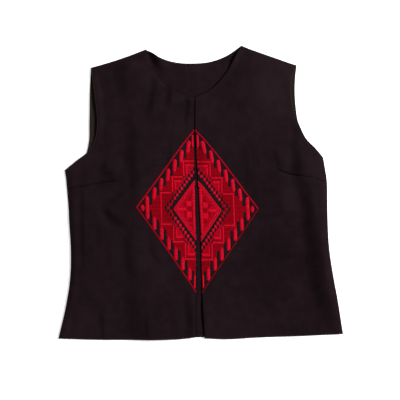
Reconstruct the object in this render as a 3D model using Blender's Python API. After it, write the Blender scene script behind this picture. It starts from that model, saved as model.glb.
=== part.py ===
"""A sleeveless folk vest of black cloth, laid flat on its back with the embroidered fronts up.

Wearer's right is at -X and the neck is at +Y. The back panel lies on the ground plane, and the two
fronts lie over it: they meet it along the shoulder and side seams and are loose at the neckline, the
armholes, the centre edges and the hem. Half of one large embroidered diamond lies on each front.

Tables are in millimetres, and every point is turned into metres where its mesh is made.
"""

import math
from collections import namedtuple

import bmesh
import bpy
from mathutils import Vector, geometry
from mathutils.bvhtree import BVHTree

MM = 0.001

# Cloth, in millimetres.
CLOTH = 1.2  # wall of one layer, with its facing or seam allowance
SEAM_GAP = 0.3  # between two pieces that are sewn to each other
SEAM_LEVEL = CLOTH + SEAM_GAP  # underside of a front where it is sewn to the back
DART_CLOTH = 1.8  # wall beside a dart, where its intake is pressed under the front

# How a front lies on the back.
PUFF = 2.6  # height of a front over the seam level, away from its edges
SEAM_ROLL = 24.0  # the cloth rolls down to a seam over this width
LOOSE_WIDTH = 34.0  # and sinks towards a loose edge over this width
LOOSE_SHARE = 0.34  # share of the puff that is left at a loose edge
STIFF_SHARE = 0.2  # share of a fold's height that is left under the embroidery
STIFF_MARGIN = 9.0  # and this far round it
STIFF_EDGE = 20.0  # beyond which the folds come back over this width

COLUMNS = 21  # quads across a front, from its centre edge to its side
HEM_STEPS = 8  # steps between two points of a front's hem
SIDE_CROWDING = 1.25  # above 1, the columns crowd towards the side seam

# One row for each section through a front, from its inner edge (the neckline, then the centre edge) to
# its outer edge (the armhole, then the side seam), with the rows of quads that lead to it.
Section = namedtuple("Section", "name inner_x inner_y outer_x outer_y rows")

RIGHT_SECTIONS = (
    Section("shoulder", -99.6, 258.2, -197.6, 225.0, 0),
    Section("yoke", -91.0, 239.0, -195.2, 197.0, 2),
    Section("upper_chest", -76.5, 208.0, -190.6, 168.0, 2),
    Section("neck_hollow", -50.0, 184.0, -187.2, 141.0, 2),
    Section("neck_corner", -11.8, 171.2, -186.5, 120.0, 3),
    Section("chest", -11.5, 140.0, -190.8, 94.5, 2),
    Section("armhole_turn", -11.8, 113.0, -205.0, 72.6, 2),
    Section("armhole_low", -12.0, 96.0, -226.5, 56.4, 2),
    Section("underarm", -12.1, 80.0, -244.7, 39.8, 2),
    Section("dart_upper", -11.9, 48.0, -240.4, 10.0, 2),
    Section("dart", -11.8, 44.0, -239.9, 6.0, 1),
    Section("dart_lower", -11.7, 40.0, -239.6, 2.0, 1),
    Section("high_waist", -10.4, -27.0, -236.8, -52.0, 4),
    Section("waist", -9.3, -85.0, -233.8, -100.0, 3),
    Section("high_hip", -8.7, -139.0, -235.0, -155.0, 4),
    Section("hip", -8.4, -179.0, -242.0, -201.0, 3),
    Section("hem", -6.4, -259.6, -255.8, -261.4, 5),
)
LEFT_SECTIONS = (
    Section("shoulder", 72.1, 265.1, 172.0, 229.5, 0),
    Section("yoke", 62.5, 248.0, 164.2, 209.0, 2),
    Section("upper_chest", 48.0, 220.5, 162.0, 186.0, 2),
    Section("neck_hollow", 22.0, 189.4, 163.8, 163.0, 2),
    Section("neck_corner", -10.8, 171.0, 168.5, 143.5, 3),
    Section("chest", -9.4, 141.0, 176.5, 121.0, 2),
    Section("armhole_turn", -8.9, 124.0, 190.2, 96.6, 2),
    Section("armhole_low", -8.5, 115.0, 208.2, 78.6, 2),
    Section("underarm", -8.1, 106.0, 220.2, 62.5, 1),
    Section("dart_upper", -7.2, 82.0, 226.4, 18.4, 3),
    Section("dart", -7.0, 78.0, 226.6, 14.4, 1),
    Section("dart_lower", -6.9, 74.0, 226.7, 10.4, 1),
    Section("high_waist", -2.9, -12.0, 227.3, -45.0, 5),
    Section("waist", -0.3, -85.0, 230.2, -100.0, 4),
    Section("high_hip", 1.4, -139.0, 237.5, -150.0, 3),
    Section("hip", 2.5, -180.0, 246.2, -196.0, 3),
    Section("hem", 6.8, -262.0, 256.1, -253.0, 5),
)
SHOULDER_SAG = 1.9  # the shoulder seam's middle lies this far under a straight line
RIGHT_HEM = ((-6.4, -259.6), (-30.0, -262.8), (-85.0, -264.7), (-170.0, -263.9), (-255.8, -261.4))
LEFT_HEM = ((6.8, -262.0), (40.0, -263.2), (100.0, -260.2), (180.0, -256.9), (256.1, -253.0))

# One row for each section through the back, from its right edge to its left. Its edges lie just inside
# the fronts' at the seams.
BackSection = namedtuple("BackSection", "name right_x right_y left_x left_y rows")
BACK_SECTIONS = (
    BackSection("shoulder", -197.2, 224.4, 171.4, 228.8, 0),
    BackSection("blade", -199.4, 190.0, 168.6, 205.0, 3),
    BackSection("mid_armhole", -199.8, 130.0, 170.0, 161.0, 4),
    BackSection("armhole_turn", -201.2, 84.0, 176.8, 119.0, 3),
    BackSection("armhole_low", -212.0, 65.4, 198.0, 85.6, 2),
    BackSection("underarm", -243.6, 38.9, 219.4, 61.0, 3),
    BackSection("high_waist", -236.1, -52.0, 226.6, -45.0, 4),
    BackSection("waist", -233.1, -100.0, 229.5, -100.0, 3),
    BackSection("hip", -241.3, -201.0, 245.5, -196.0, 4),
    BackSection("hem", -255.2, -260.2, 255.2, -251.9, 3),
)
BACK_TOP = (  # shoulder seam, neck curve and shoulder seam, from the right shoulder tip
    (-197.2, 224.4),
    (-148.0, 239.4),
    (-99.6, 257.4),
    (-92.0, 254.4),
    (-75.5, 244.3),
    (-40.0, 234.1),
    (-13.0, 232.3),
    (14.0, 234.7),
    (47.0, 246.4),
    (72.1, 264.3),
    (122.0, 245.0),
    (171.4, 228.8),
)
BACK_TOP_CORNERS = (2, 9)  # the two neck points
BACK_TOP_STEPS = 2  # quads between two points of the top
BACK_HEM_SAG = 3.0

# Folds that show in the fronts: each is a soft ridge, or a trough where its height is below zero, that
# runs from its top through its middle to its end.
Fold = namedtuple("Fold", "name top_x top_y mid_x mid_y end_x end_y half_width height")

RIGHT_FOLDS = (
    Fold("chest_ridge", -111, 117, -104, 5, -99, -262, 25, 4.2),
    Fold("chest_trough", -138, 104, -134, -13, -129, -240, 18, -2.2),
    Fold("side_ridge", -199, 5, -203, -76, -199, -166, 17, 2.0),
    Fold("bust_puff", -166, 8, -158, -6, -146, -22, 32, 2.4),
    Fold("bust_crease", -173, -34, -156, -47, -140, -60, 13, -2.6),
    Fold("shoulder_trough", -144, 226, -142, 196, -138, 167, 15, -1.8),
    Fold("neck_ridge", -71, 207, -77, 174, -83, 138, 14, 2.4),
    Fold("armhole_lip", -186, 150, -183, 124, -190, 96, 16, 2.2),
    Fold("underarm_crease", -181, 63, -167, 45, -156, 27, 13, -1.7),
    Fold("hem_wave", -62, -166, -66, -214, -73, -264, 24, 2.2),
    Fold("hem_crease", -240, -240, -222, -224, -203, -207, 14, -1.7),
)
LEFT_FOLDS = (
    Fold("side_ridge", 188, 82, 214, -40, 238, -232, 25, 5.2),
    Fold("side_trough", 172, 84, 184, -40, 204, -232, 19, -2.6),
    Fold("bust_puff", 114, 64, 120, 44, 125, 18, 36, 2.6),
    Fold("dart_crease", 129, 78, 135, 62, 142, 47, 13, -1.8),
    Fold("waist_crease", 128, -125, 150, -112, 173, -101, 13, -1.6),
    Fold("shoulder_ridge", 92, 246, 98, 203, 103, 152, 32, 2.8),
    Fold("neck_lip", 66, 252, 56, 235, 45, 214, 15, 2.4),
    Fold("edge_lip", 5, -170, 8, -214, 10, -258, 16, 1.9),
    Fold("hem_wave", 44, -184, 46, -225, 50, -264, 27, 2.2),
    Fold("hem_crease", 139, -214, 155, -229, 168, -247, 15, -1.6),
)

# The embroidery. Each half is drawn as a half diamond with u measured from the centre edge and v up
# from the middle, and is then fitted to its front.
DIAMOND_U = 106.0  # from the centre edge to the outer corner
DIAMOND_V = 147.0  # from the middle to the tip
DIAMOND_MIDDLE = -26.5  # height of the middle on the vest
UPPER_STRETCH = 0.95  # the upper half is a little shorter than drawn
LOWER_STRETCH = 1.047
EDGE_MARGIN = 1.0  # bare cloth between the centre edge and the stitches
TIP_U = 1.4  # width of a tip, which is blunt
THREAD = 0.6  # ground stitches over the cloth
SATIN = 1.3  # padded satin stitches
STITCH_GAP = 0.45  # clearance over the front's facets
BORDER_V = 4.2  # border, measured along v
BAR_PITCH = 12.2
BAR_WIDTH = 6.4
BAR_LENGTH = 22.0
BARS = 7
FIRST_BAR = 12.0  # u of the first bar's middle
BAR_FOOT = 2.0  # a bar slopes down to the ground over this length
GAP_LENGTH = 26.0  # bare cloth between two bars
CENTRE_BAR_U = 3.6  # width of the half bar along the centre edge
STAIR_U = (0.0, 20.5, 41.5, 62.5)  # u of the stair's risers
STAIR_V = (90.0, 60.0, 30.0)  # v of its treads
STAIR_WIDTH = 3.0
CHANNEL_U = 45.0  # outer corner of the bare channel round the centre
CENTRE_U = 38.0  # outer corner of the centre diamond
CENTRE_CROWN_U = 27.0  # and of its raised middle
SPREAD = 15.0  # distance between the points that let the embroidery follow the cloth
SLIVER = 0.01  # a triangle with less area is only rounding on a straight edge

# What differs between the fronts. dart_share is the dart's length over the width of its section, and
# side is the front's sign along X.
Front = namedtuple("Front", "sections folds hem dart_share side")
FRONTS = {
    "right": Front(RIGHT_SECTIONS, RIGHT_FOLDS, RIGHT_HEM, 0.40, -1),
    "left": Front(LEFT_SECTIONS, LEFT_FOLDS, LEFT_HEM, 0.43, 1),
}


def clear_scene():
    for obj in list(bpy.data.objects):
        bpy.data.objects.remove(obj)


def cloth_material(name, colour, roughness):
    material = bpy.data.materials.new(name)
    material.use_nodes = True
    shader = material.node_tree.nodes["Principled BSDF"]
    shader.inputs["Base Color"].default_value = (*colour, 1.0)
    shader.inputs["Roughness"].default_value = roughness
    shader.inputs["Metallic"].default_value = 0.0
    material.diffuse_color = (*colour, 1.0)
    return material


# Curves and patches


def tangents(points, corners):
    """For each point, the direction in which a smooth line arrives and the one in which it leaves."""
    found = []
    last = len(points) - 1
    for i, point in enumerate(points):
        before = point - points[max(i - 1, 0)]
        after = points[min(i + 1, last)] - point
        if i in corners or i in (0, last):
            found.append((before if i else after, after if i < last else before))
            continue
        a, b = before.length, after.length
        slope = (before / a * b + after / b * a) / (a + b)
        found.append((slope * a, slope * b))
    return found


def smooth_line(points, steps, corners=()):
    """A smooth line through the points, with a number of steps before each point but the first."""
    points = [Vector(point) for point in points]
    slopes = tangents(points, corners)
    line = [points[0]]
    for i, count in enumerate(steps):
        start, end = points[i], points[i + 1]
        leave, arrive = slopes[i][1], slopes[i + 1][0]
        for step in range(1, count + 1):
            t = step / count
            line.append(
                start * (2 * t**3 - 3 * t**2 + 1)
                + leave * (t**3 - 2 * t**2 + t)
                + end * (3 * t**2 - 2 * t**3)
                + arrive * (t**3 - t**2)
            )
    return line


def sagging_line(start, end, shares, sag):
    """Points from start to end at the given shares of the way, hanging down by sag at the middle."""
    start, end = Vector(start), Vector(end)
    drop = Vector((0, -sag))
    return [start.lerp(end, s) + drop * 4 * s * (1 - s) for s in shares]


def line_at_shares(line, shares):
    """Points of a line at the given shares of its length."""
    lengths = [(b - a).length for a, b in zip(line, line[1:])]
    found = []
    for share in shares:
        left = share * sum(lengths)
        step = 0
        while step < len(lengths) - 1 and left > lengths[step]:
            left -= lengths[step]
            step += 1
        found.append(line[step].lerp(line[step + 1], min(left / lengths[step], 1.0)))
    return found


def patch(top, bottom, near, far, shares):
    """Rows of points that fill the four lines: near and far run down, and top and bottom join them."""
    rows = []
    last = len(near) - 1
    for j in range(last + 1):
        t = j / last
        row = []
        for i, s in enumerate(shares):
            across = near[j] * (1 - s) + far[j] * s
            down = top[i] * (1 - t) + bottom[i] * t
            twist = (top[0] * (1 - s) + top[-1] * s) * (1 - t)
            twist += (bottom[0] * (1 - s) + bottom[-1] * s) * t
            row.append(across + down - twist)
        rows.append(row)
    return rows


def distance_to_line(point, line):
    """Distance from a point to a line of points, and the share of the line's points that it is at."""
    nearest, share = math.inf, 0.0
    for i in range(len(line) - 1):
        found, along = geometry.intersect_point_line(point, line[i], line[i + 1])
        along = min(max(along, 0.0), 1.0)
        away = (line[i].lerp(line[i + 1], along) - point).length
        if away < nearest:
            nearest, share = away, (i + along) / (len(line) - 1)
    return nearest, share


def soft_step(value):
    value = min(max(value, 0.0), 1.0)
    return value * value * (3 - 2 * value)


# The fronts


def column_shares():
    """Shares of the way from the centre edge to the side, closer together towards the side."""
    return [1 - (1 - i / COLUMNS) ** SIDE_CROWDING for i in range(COLUMNS + 1)]


def section_index(sections, name):
    """The row of quads at which the named section lies."""
    total = 0
    for section in sections:
        total += section.rows
        if section.name == name:
            return total
    raise KeyError(name)


def section_place(sections, name):
    return [section.name for section in sections].index(name)


def front_edges(cut):
    """The inner and the outer edge of a front, each with a point for every row."""
    sections = cut.sections
    steps = [section.rows for section in sections[1:]]
    inner = smooth_line(
        [(s.inner_x, s.inner_y) for s in sections],
        steps,
        corners=(section_place(sections, "neck_corner"),),
    )
    outer = smooth_line(
        [(s.outer_x, s.outer_y) for s in sections],
        steps,
        corners=(section_place(sections, "underarm"),),
    )
    return inner, outer


def fold_height(folds, point):
    """Height that the folds add at a point."""
    total = 0.0
    for fold in folds:
        line = smooth_line(
            ((fold.top_x, fold.top_y), (fold.mid_x, fold.mid_y), (fold.end_x, fold.end_y)),
            (4, 4),
        )
        away, along = distance_to_line(point, line)
        if away < fold.half_width:
            end = min(along, 1 - along)
            taper = 0.45 + 0.55 * soft_step(end / 0.3)
            total += fold.height * taper * (0.5 + 0.5 * math.cos(math.pi * away / fold.half_width))
    return total


def stiffening(cut, inner, point):
    """Share of the folds that is left at a point: embroidery keeps the cloth under it flat."""
    u, v = drawn_place(cut, inner, point)
    outside = (u / DIAMOND_U + abs(v) / DIAMOND_V - 1) * DIAMOND_U
    return STIFF_SHARE + (1 - STIFF_SHARE) * soft_step((outside - STIFF_MARGIN) / STIFF_EDGE)


def front_height(cut, inner, outer, top, bottom, point):
    """Height of a front's underside over the ground."""
    underarm = section_index(cut.sections, "underarm")
    to_seam = min(distance_to_line(point, top)[0], distance_to_line(point, outer[underarm:])[0])
    loose_edges = (inner, bottom, outer[: underarm + 1])
    to_loose = min(distance_to_line(point, edge)[0] for edge in loose_edges)
    roll = 1 - (1 - min(to_seam / SEAM_ROLL, 1)) ** 2
    puff = PUFF * (LOOSE_SHARE + (1 - LOOSE_SHARE) * soft_step(to_loose / LOOSE_WIDTH))
    folds = fold_height(cut.folds, point) * stiffening(cut, inner, point)
    return SEAM_LEVEL + roll * max(puff + folds, 0.0)


def front_panel(name, cut, material):
    inner, outer = front_edges(cut)
    shares = column_shares()
    top = sagging_line(inner[0], outer[0], shares, SHOULDER_SAG)
    bottom = line_at_shares(smooth_line(cut.hem, [HEM_STEPS] * (len(cut.hem) - 1)), shares)
    rows = patch(top, bottom, inner, outer, shares)
    dart = section_index(cut.sections, "dart")
    heights, walls = [], []
    for j, row in enumerate(rows):
        beside_dart = abs(j - dart) == 1
        heights.append([front_height(cut, inner, outer, top, bottom, point) for point in row])
        walls.append(
            [
                DART_CLOTH if beside_dart and 1 - share < cut.dart_share else CLOTH
                for share in shares
            ]
        )
    return wall_from_rows(name, rows, heights, walls, material)


def wall_from_rows(name, rows, heights, walls, material):
    """A cloth wall over rows of points: its underside is at the heights, and walls gives its thickness."""
    bm = bmesh.new()
    bmesh.ops.create_grid(bm, x_segments=len(rows[0]) - 1, y_segments=len(rows) - 1, size=1)
    mesh = bpy.data.meshes.new(name)
    columns, lines = len(rows[0]) - 1, len(rows) - 1
    thickness = {}
    for vert in bm.verts:
        i = round((vert.co.x + 1) / 2 * columns)
        j = round((vert.co.y + 1) / 2 * lines)
        thickness[vert.index] = walls[j][i]
        vert.co = Vector((rows[j][i].x, rows[j][i].y, heights[j][i])) * MM
    turn_up(bm)
    bm.to_mesh(mesh)
    bm.free()
    mesh.shade_smooth()
    return thickened(name, mesh, thickness, material)


def turn_up(bm):
    """Makes every face of an open sheet point upwards."""
    bm.normal_update()
    for face in bm.faces:
        if face.normal.z < 0:
            face.normal_flip()


def thickened(name, mesh, thickness, material):
    """An object for the sheet, with a Solidify that adds each vertex's own thickness on its upper side."""
    obj = bpy.data.objects.new(name, mesh)
    bpy.context.scene.collection.objects.link(obj)
    mesh.materials.append(material)
    most = max(thickness.values())
    group = obj.vertex_groups.new(name="thickness")
    for index, value in thickness.items():
        group.add((index,), value / most, "REPLACE")
    solid = obj.modifiers.new("wall", "SOLIDIFY")
    solid.thickness = most * MM
    solid.offset = 1.0
    solid.use_even_offset = True
    solid.use_rim = True
    solid.vertex_group = group.name
    return obj


# The back


def back_panel(name, material):
    steps = [section.rows for section in BACK_SECTIONS[1:]]
    underarm = (section_place(BACK_SECTIONS, "underarm"),)
    right = smooth_line([(s.right_x, s.right_y) for s in BACK_SECTIONS], steps, underarm)
    left = smooth_line([(s.left_x, s.left_y) for s in BACK_SECTIONS], steps, underarm)
    top_steps = [BACK_TOP_STEPS] * (len(BACK_TOP) - 1)
    top = smooth_line(BACK_TOP, top_steps, BACK_TOP_CORNERS)
    shares = [(point.x - top[0].x) / (top[-1].x - top[0].x) for point in top]
    bottom = sagging_line(right[-1], left[-1], shares, BACK_HEM_SAG)
    rows = patch(top, bottom, right, left, shares)
    flat = [[0.0] * len(shares) for _ in rows]
    walls = [[CLOTH] * len(shares) for _ in rows]
    return wall_from_rows(name, rows, flat, walls, material)


# The embroidery


def centre_edge_x(inner, y):
    """X of a front's centre edge at a height."""
    for above, below in zip(inner, inner[1:]):
        if below.y <= y <= above.y:
            return below.x + (above.x - below.x) * (y - below.y) / (above.y - below.y)
    return inner[-1].x if y < inner[-1].y else inner[0].x


def worn_place(cut, inner, u, v):
    """Point of the front at a place of the drawing."""
    y = DIAMOND_MIDDLE + v * (UPPER_STRETCH if v > 0 else LOWER_STRETCH)
    return Vector((centre_edge_x(inner, y) + cut.side * (EDGE_MARGIN + u), y))


def drawn_place(cut, inner, point):
    """Place of the drawing at a point of the front."""
    v = point.y - DIAMOND_MIDDLE
    v /= UPPER_STRETCH if v > 0 else LOWER_STRETCH
    return (point.x - centre_edge_x(inner, point.y)) * cut.side - EDGE_MARGIN, v


def slant_v(u, corner_u=DIAMOND_U):
    """V of a diamond's slanting edge, for the diamond whose outer corner is at corner_u."""
    return (corner_u - u) * DIAMOND_V / DIAMOND_U


def half_diamond(corner_u):
    """Outline of a half diamond, with its tips cut blunt so that it has no needle there."""
    tip = slant_v(TIP_U, corner_u)
    corner = corner_u - TIP_U
    ledge = slant_v(corner, corner_u)
    return [(0, tip), (TIP_U, tip), (corner, ledge), (corner, -ledge), (TIP_U, -tip), (0, -tip)]


def frame_outline():
    """Outline of the part outside the bare channel, which is open towards the centre edge."""
    outer = half_diamond(DIAMOND_U)
    tip, corner = slant_v(0, CHANNEL_U), CHANNEL_U
    return [*outer, (0, -tip), (corner, 0), (0, tip)]


def bar_middle(number):
    return FIRST_BAR + BAR_PITCH * number


def bare_gaps():
    """Outlines of the bare cloth between the satin bars, above and below the middle."""
    gaps = []
    for number in range(-1, BARS):
        left = CENTRE_BAR_U if number < 0 else bar_middle(number) + BAR_WIDTH / 2
        right = bar_middle(number + 1) - BAR_WIDTH / 2
        top_left, top_right = slant_v(left) - BORDER_V, slant_v(right) - BORDER_V
        floor = slant_v((left + right) / 2) - BORDER_V - GAP_LENGTH
        if floor < BAR_WIDTH / 2:
            gaps.append([(left, -top_left), (right, -top_right), (right, top_right), (left, top_left)])
            continue
        for sign in (1, -1):
            corners = [(left, floor), (right, floor), (right, top_right), (left, top_left)]
            gaps.append([(u, sign * v) for u, v in corners])
    return gaps


def bar_crests():
    """Outlines of the raised backs of the satin bars: long hexagons, pointed at both ends."""
    crests = []
    half = BAR_WIDTH * 0.3
    point = BAR_WIDTH * 0.6
    for number in range(BARS):
        middle = bar_middle(number)
        high = slant_v(middle) - BORDER_V - point / 2
        low = high - BAR_LENGTH
        spans = [(low, high), (-high, -low)] if low > 0 else [(-high, high)]
        for bottom, top in spans:
            crests.append(
                [
                    (middle, bottom),
                    (middle + half, bottom + point),
                    (middle + half, top - point),
                    (middle, top),
                    (middle - half, top - point),
                    (middle - half, bottom + point),
                ]
            )
    return crests


def bar_feet():
    """Points of the ground just past the inner ends of the satin bars."""
    feet = []
    for crest in bar_crests():
        middle, low = crest[0]
        high = crest[3][1]
        if low > 0:
            feet.append((middle, low - BAR_FOOT))
        elif high < 0:
            feet.append((middle, high + BAR_FOOT))
    return feet


def stair_line():
    """The stair that runs out from the centre edge, down past the middle and back."""
    upper = []
    for tread, v in enumerate(STAIR_V):
        upper += [(STAIR_U[tread], v), (STAIR_U[tread + 1], v)]
    upper[0] = (STAIR_WIDTH, STAIR_V[0])
    return upper + [(u, -v) for u, v in reversed(upper)]


def stair_sides(line):
    """The two lines beside the stair, half its width away."""
    half = STAIR_WIDTH / 2
    outer, inner = [], []
    for i, (u, v) in enumerate(line):
        over = half if v > 0 else -half
        end = i in (0, len(line) - 1)
        outer.append((u + (0 if end else half), v + over))
        inner.append((u - (0 if end else half), v - over))
    return outer, inner


def inside(point, outline):
    """Whether a point lies inside an outline."""
    hit = False
    for (ax, ay), (bx, by) in zip(outline, outline[1:] + outline[:1]):
        if (ay > point[1]) != (by > point[1]):
            if point[0] < ax + (bx - ax) * (point[1] - ay) / (by - ay):
                hit = not hit
    return hit


def scattered(outline, taken):
    """Points on an even lattice inside the outline, none close to a point that is taken."""
    found = []
    reach_u = max(u for u, v in outline)
    reach_v = max(v for u, v in outline)
    for i in range(1, int(reach_u / SPREAD) + 1):
        for j in range(-int(reach_v / SPREAD), int(reach_v / SPREAD) + 1):
            place = (i * SPREAD - SPREAD / 2, (j + 0.5 * (i % 2)) * SPREAD)
            near = min(math.dist(place, other) for other in taken)
            if inside(place, outline) and near > SPREAD / 3:
                found.append(place)
    return found


def long_lines_split(outline):
    """The outline again, with its long sides cut into steps no longer than the lattice's."""
    split = []
    for start, end in zip(outline, outline[1:] + outline[:1]):
        parts = max(1, round(math.dist(start, end) / SPREAD))
        split += [tuple(Vector(start).lerp(Vector(end), k / parts)) for k in range(parts)]
    return split


# What a piece of embroidery is drawn from: its outline and holes, its crests, which are raised outlines,
# its ridges, which are raised lines, and its feet, which are single points of the ground.
Drawing = namedtuple("Drawing", "outline holes crests ridges feet")


def stitched_piece(name, cut, inner, cloth, drawing, material):
    """One piece of embroidery, which follows the cloth under it."""
    outline, holes, crests = drawing.outline, drawing.holes, drawing.crests
    places, edges, raised = [], [], set()

    def add(points, loop, is_raised=False):
        first = len(places)
        places.extend(points)
        count = len(points)
        edges.extend((first + k, first + (k + 1) % count) for k in range(count if loop else count - 1))
        if is_raised:
            raised.update(range(first, first + count))

    add(long_lines_split(outline), True)
    for hole in holes:
        add(hole, True)
    for crest in crests:
        add(crest, True, True)
    for line in drawing.ridges:
        sides = stair_sides(line)
        add(sides[0], False)
        add(line, False, True)
        add(sides[1], False)
    places.extend(drawing.feet)
    for place in scattered(outline, places):
        if any(inside(place, crest) for crest in crests):
            raised.add(len(places))
        if not any(inside(place, hole) for hole in holes):
            places.append(place)

    points, _, triangles, sources, _, _ = geometry.delaunay_2d_cdt(
        [Vector(place) for place in places], edges, [], 0, 1e-4, True
    )
    kept = []
    for triangle in triangles:
        corners = [points[k] for k in triangle]
        middle = sum(corners, Vector((0, 0))) / 3
        in_hole = any(inside(middle, hole) for hole in holes)
        if inside(middle, outline) and not in_hole and geometry.area_tri(*corners) > SLIVER:
            kept.append(triangle)

    bm = bmesh.new()
    verts, thickness = {}, {}
    for triangle in kept:
        for k in triangle:
            if k in verts:
                continue
            place = worn_place(cut, inner, *points[k])
            lifted = height_on(cloth, place) + STITCH_GAP
            thickness[len(verts)] = SATIN if raised.intersection(sources[k]) else THREAD
            verts[k] = bm.verts.new(Vector((place.x, place.y, lifted)) * MM)
        bm.faces.new([verts[k] for k in triangle])
    turn_up(bm)
    mesh = bpy.data.meshes.new(name)
    bm.to_mesh(mesh)
    bm.free()
    return thickened(name, mesh, thickness, material)


def height_on(cloth, place):
    """Height of the upper face of the cloth at a point, in millimetres."""
    above = Vector((place.x, place.y, 100.0)) * MM
    hit = cloth.ray_cast(above, Vector((0, 0, -1)))[0]
    if hit is None:
        hit = cloth.find_nearest(Vector((place.x, place.y, SEAM_LEVEL)) * MM)[0]
    return hit.z / MM


def embroidery(side, cut, front, material):
    bpy.context.view_layer.update()
    cloth = BVHTree.FromObject(front, bpy.context.evaluated_depsgraph_get())
    inner = front_edges(cut)[0]
    crown = [(u + TIP_U, v) for u, v in half_diamond(CENTRE_CROWN_U)]
    stitched_piece(
        f"embroidery_{side}_frame",
        cut,
        inner,
        cloth,
        Drawing(frame_outline(), bare_gaps(), bar_crests(), [stair_line()], bar_feet()),
        material,
    )
    stitched_piece(
        f"embroidery_{side}_centre",
        cut,
        inner,
        cloth,
        Drawing(half_diamond(CENTRE_U), [], [crown], [], []),
        material,
    )


def main():
    clear_scene()
    black = cloth_material("black_cloth", (0.015, 0.010, 0.012), 0.85)
    red = cloth_material("red_thread", (0.55, 0.008, 0.025), 0.5)
    back_panel("back", black)
    for side, cut in FRONTS.items():
        front = front_panel(f"front_{side}", cut, black)
        embroidery(side, cut, front, red)


main()
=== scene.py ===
import math

import bpy
import numpy as np
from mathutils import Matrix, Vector, noise
from mathutils.bvhtree import BVHTree


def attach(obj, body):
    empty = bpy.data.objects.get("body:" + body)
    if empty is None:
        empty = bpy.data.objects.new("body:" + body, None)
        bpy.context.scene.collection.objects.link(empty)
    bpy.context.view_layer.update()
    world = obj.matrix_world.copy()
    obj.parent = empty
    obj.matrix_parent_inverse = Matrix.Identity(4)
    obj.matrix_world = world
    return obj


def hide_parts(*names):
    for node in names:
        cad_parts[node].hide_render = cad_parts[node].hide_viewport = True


# A folk vest of black cloth, laid flat with its embroidered fronts up. Tables are in millimetres.

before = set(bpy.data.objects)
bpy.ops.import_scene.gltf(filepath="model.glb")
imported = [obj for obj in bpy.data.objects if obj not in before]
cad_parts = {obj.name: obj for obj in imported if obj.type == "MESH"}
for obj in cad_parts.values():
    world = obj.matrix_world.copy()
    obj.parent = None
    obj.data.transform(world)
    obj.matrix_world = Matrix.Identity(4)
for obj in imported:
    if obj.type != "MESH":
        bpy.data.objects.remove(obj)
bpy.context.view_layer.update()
scene = bpy.context.scene
mm = 0.001


def setMode(mode):
    bpy.ops.object.mode_set(mode=mode)


def selectOnly(piece):
    bpy.ops.object.select_all(action="DESELECT")
    piece.select_set(True)
    bpy.context.view_layer.objects.active = piece


def editAll(piece):
    selectOnly(piece)
    setMode("EDIT")
    bpy.ops.mesh.select_all(action="SELECT")


def applyModifier(piece, kind, **values):
    selectOnly(piece)
    bpy.ops.object.modifier_add(type=kind)
    modifier = piece.modifiers[-1]
    for name, value in values.items():
        setattr(modifier, name, value)
    bpy.ops.object.modifier_apply(modifier=modifier.name)


def placesOf(piece):  # the x, y and z of every point
    points = np.empty(len(piece.data.vertices) * 3)
    piece.data.vertices.foreach_get("co", points)
    return points.reshape(-1, 3)


class Look:  # a material, and the nodes that make it
    def __init__(self, name):
        self.material = bpy.data.materials.new(name)
        self.material.use_nodes = True
        self.nodes, self.links = self.material.node_tree.nodes, self.material.node_tree.links

    def feed(self, node, inputs):  # each input a value or another node's output
        for name, value in dict(inputs).items():
            if isinstance(value, bpy.types.NodeSocket):
                self.links.new(value, node.inputs[name])
            else:
                node.inputs[name].default_value = value
        return node

    def add(self, kind, inputs=(), **settings):
        node = self.nodes.new("ShaderNode" + kind)
        for name, value in settings.items():
            setattr(node, name, value)
        return self.feed(node, inputs)

    def math(self, operation, *values):
        return self.add("Math", enumerate(values), operation=operation).outputs[0]

    def mix(self, amount, colour, other):
        inputs = {"Factor": amount, 6: colour, 7: other}
        return self.add("Mix", inputs, data_type="RGBA", clamp_factor=True).outputs[2]

    def layer(self, name):  # values stored with the mesh
        return self.add("Attribute", attribute_name=name).outputs["Fac"]

    def noise(self, place, scale, detail):
        return self.add("TexNoise", {"Vector": place, "Scale": scale, "Detail": detail}).outputs["Fac"]

    def slubs(self, place, across, along, seed):  # streaks of thicker thread along one axis
        spread = (seed, seed * 0.7, seed * 1.3)
        inputs = {"Scale": (across, along, 1.0), "Location": spread, "Vector": place}
        return self.noise(self.add("Mapping", inputs).outputs["Vector"], 1.0, 2.0)

    def ramp(self, amount, *colours):  # colours spaced evenly along an amount from 0 to 1
        node = self.add("ValToRGB", {"Fac": amount})
        elements = node.color_ramp.elements
        for k in range(1, len(colours) - 1):
            elements.new(k / (len(colours) - 1))
        for element, colour in zip(elements, colours):
            element.color = colour
        return node.outputs["Color"]

    def complete(self, finish, colour, relief=None):
        inputs = {
            "Base Color": colour,
            "Roughness": finish["roughness"],
            "Specular IOR Level": finish["specular"],
        }
        if relief is not None:
            relief = {"Strength": 1.0, "Distance": finish["weaveDepth"] * mm, "Height": relief}
            inputs["Normal"] = self.add("Bump", relief).outputs["Normal"]
        self.shader = self.feed(self.nodes["Principled BSDF"], inputs)
        return self.material


# Studio: a pale floor, soft light that comes mostly from the right, and the camera straight above

studio = {
    "lookAt": (-2.2, -13.7, 5.0),
    "cameraHeight": 1700.0,
    "lens": 85.0,
    "sensor": 36.0,
    "floorSize": 40.0,  # metres
    "floorDrop": 0.0004,
    "floorColour": (0.86, 0.86, 0.86, 1.0),
    "roughness": 0.9,
    "specular": 0.1,
    "floorGlow": 0.6,  # of a table lit from below
    "skyColour": (1.0, 1.0, 1.0, 1.0),
    "skyStrength": 0.32,
    "keyFrom": (2.9, 0.85, 2.45),  # metres
    "keySize": 1.1,
    "keyPower": 305.0,
}


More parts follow.
